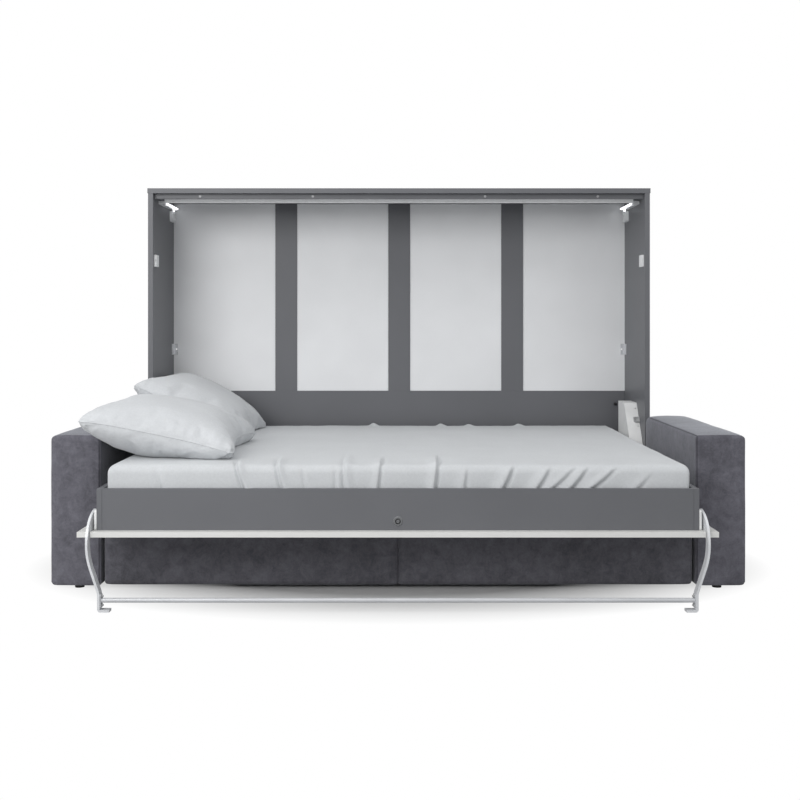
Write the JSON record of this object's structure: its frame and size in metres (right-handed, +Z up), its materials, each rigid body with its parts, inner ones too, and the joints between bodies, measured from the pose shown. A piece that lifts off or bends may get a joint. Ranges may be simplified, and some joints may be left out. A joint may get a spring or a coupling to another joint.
{
  "type": "horizontal murphy wall bed with sofa",
  "caption": "Horizontal murphy wall bed with a fold-down bed frame, folding legs, mattress, pillows, lit cabinet and a low sofa with armrests under it.",
  "frame": {"origin": "middle of the footprint's box, on the floor", "axes": "+X along the wall to the right, +Y into the wall, +Z up"},
  "size_m": [2.544, 1.539, 1.57],
  "materials": {
    "laminate": "matt grey melamine board",
    "white_board": "matt white melamine board",
    "screw_steel": "bright zinc",
    "light_profile": "anodised",
    "white_plastic": "moulded white",
    "diffuser": "lit diffuser",
    "zinc_steel": "zinc plated",
    "white_steel": "satin white powder coat",
    "silver_paint": "satin silver powder coat",
    "black_paint": "gloss black",
    "black_plastic": "black",
    "velvet": "short grey velvet",
    "sheet_cotton": "fitted cotton sheet",
    "pillow_cotton": "cotton pillow case",
    "bed_wood": "plain beech",
    "catch_grey": "grey, semi gloss"
  },
  "bodies": {
    "root": {"side_panel_left": "laminate", "side_panel_right": "laminate", "top_board": "laminate", "base_rail": "laminate", "back_rail": "laminate", "back_stile_left": "laminate", "back_stile_centre": "laminate", "back_stile_right": "laminate", "back_panel_outer_left": "white_board", "back_panel_inner_left": "white_board", "back_panel_inner_right": "white_board", "back_panel_outer_right": "white_board", "top_rail": "laminate", "rail_screws": "screw_steel", "light_rail": "light_profile", "light_arm_left": "white_plastic", "light_arm_right": "white_plastic", "light_diffusers": "diffuser", "hanger_bracket_left": "white_plastic", "hanger_bracket_right": "white_plastic", "corner_bracket_left": "zinc_steel", "corner_bracket_right": "zinc_steel", "closing_stops": "white_plastic", "cable_gland": "black_plastic", "hinge_plate_left": "zinc_steel", "hinge_plate_right": "zinc_steel", "hinge_pins": "zinc_steel", "mechanism_cover_left": "white_steel", "mechanism_cover_right": "white_steel", "cover_clips": "white_plastic", "armrest_left": "velvet", "armrest_right": "velvet", "seat_left": "velvet", "seat_right": "velvet", "glides": "black_plastic"},
    "bed": {"front_panel": "white_board", "frame_front_board": "laminate", "frame_back_board": "laminate", "frame_end_left": "laminate", "frame_end_right": "laminate", "slat_bearers": "bed_wood", "slats": "bed_wood", "mattress": "sheet_cotton", "pillow_front": "pillow_cotton", "pillow_back": "pillow_cotton", "hinge_arm_left": "zinc_steel", "hinge_arm_right": "zinc_steel", "leg_bracket_left": "white_steel", "leg_bracket_right": "white_steel", "catch_ring": "catch_grey"},
    "legs": {"leg_left": "silver_paint", "leg_right": "silver_paint", "leg_tube": "silver_paint", "leg_bolts": "screw_steel"},
    "catch": {"catch_button": "catch_grey"},
    "spring_left": {"gas_cylinder_left": "black_paint"},
    "spring_right": {"gas_cylinder_right": "black_paint"},
    "rod_left": {"gas_rod_left": "zinc_steel"},
    "rod_right": {"gas_rod_right": "zinc_steel"}
  },
  "joints": [
    {"name": "bed_fold", "type": "hinge", "parent": "root", "child": "bed", "pos_m": [0, 0.4415, 0.355], "axis": [-1, 0, 0], "range_deg": [0, 90], "deforming": ["pillow_front", "pillow_back"]},
    {"name": "leg_fold", "type": "hinge", "parent": "bed", "child": "legs", "pos_m": [0, -0.6735, 0.285], "axis": [1, 0, 0], "range_deg": [0, 90]},
    {"name": "catch_press", "type": "slide", "parent": "bed", "child": "catch", "axis": [0, 1, 0], "range_m": [0, 0.006], "stiffness_N_per_m": 600},
    {"name": "spring_swing_left", "type": "hinge", "parent": "root", "child": "spring_left", "pos_m": [-1.047, 0.5475, 0.575], "axis": [1, 0, 0], "range_deg": [0, 6.08]},
    {"name": "rod_slide_left", "type": "slide", "parent": "spring_left", "child": "rod_left", "axis": [0, -0.3371, -0.9415], "range_m": [0, 0.0815]},
    {"name": "spring_swing_right", "type": "hinge", "parent": "root", "child": "spring_right", "pos_m": [1.047, 0.5475, 0.575], "axis": [1, 0, 0], "range_deg": [0, 6.08]},
    {"name": "rod_slide_right", "type": "slide", "parent": "spring_right", "child": "rod_right", "axis": [0, -0.3371, -0.9415], "range_m": [0, 0.0815]}
  ],
  "couplings": [
    {"joint": "leg_fold", "follows": "bed_fold", "ratio": 1},
    {"joint": "spring_swing_left", "follows": "bed_fold", "ratio": 0.067559},
    {"joint": "rod_slide_left", "follows": "bed_fold", "m_per_rad": 0.051825},
    {"joint": "spring_swing_right", "follows": "bed_fold", "ratio": 0.067559},
    {"joint": "rod_slide_right", "follows": "bed_fold", "m_per_rad": 0.051825}
  ]
}
